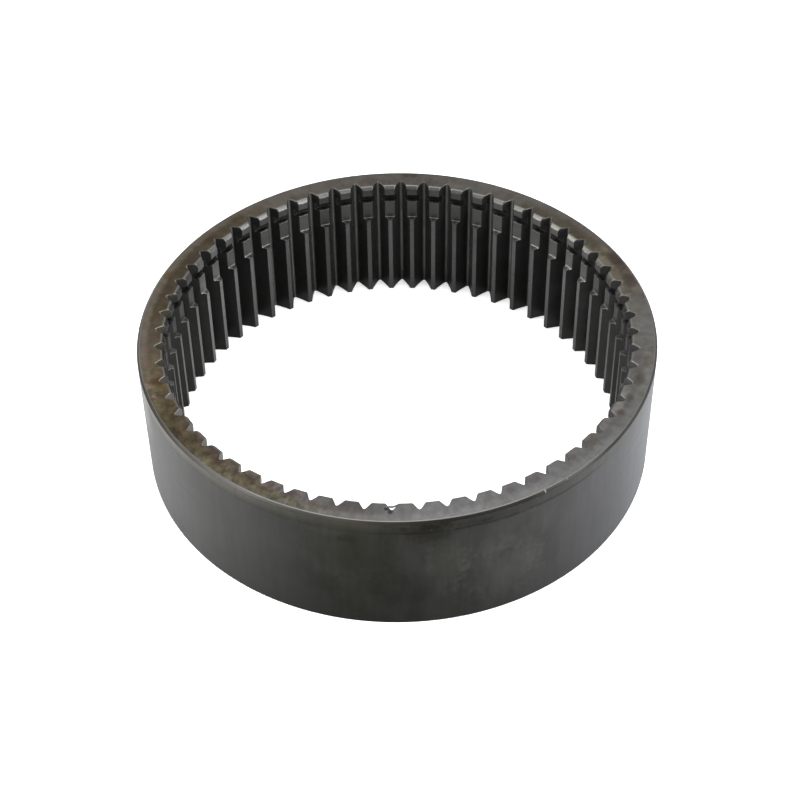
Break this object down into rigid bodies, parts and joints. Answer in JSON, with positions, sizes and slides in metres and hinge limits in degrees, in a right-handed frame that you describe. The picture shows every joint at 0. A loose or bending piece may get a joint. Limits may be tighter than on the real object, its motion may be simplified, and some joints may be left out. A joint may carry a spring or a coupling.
{
  "type": "internal ring gear",
  "caption": "Internal ring gear: a plain steel ring with straight involute teeth inside, turned back at one end for an end plate held by a snap ring.",
  "frame": {"origin": "centre of the lower end face, on the gear's axis", "axes": "+Z along the gear's axis, from the plain end to the end with the snap-ring groove; +X through the middle of a tooth space"},
  "size_m": [0.2, 0.2, 0.0544],
  "materials": {
    "gear_steel": "hardened steel, turned end faces with brown heat tint, darker satin rim and oiled tooth flanks"
  },
  "bodies": {
    "root": {"ring_gear": "gear_steel"}
  },
  "joints": []
}
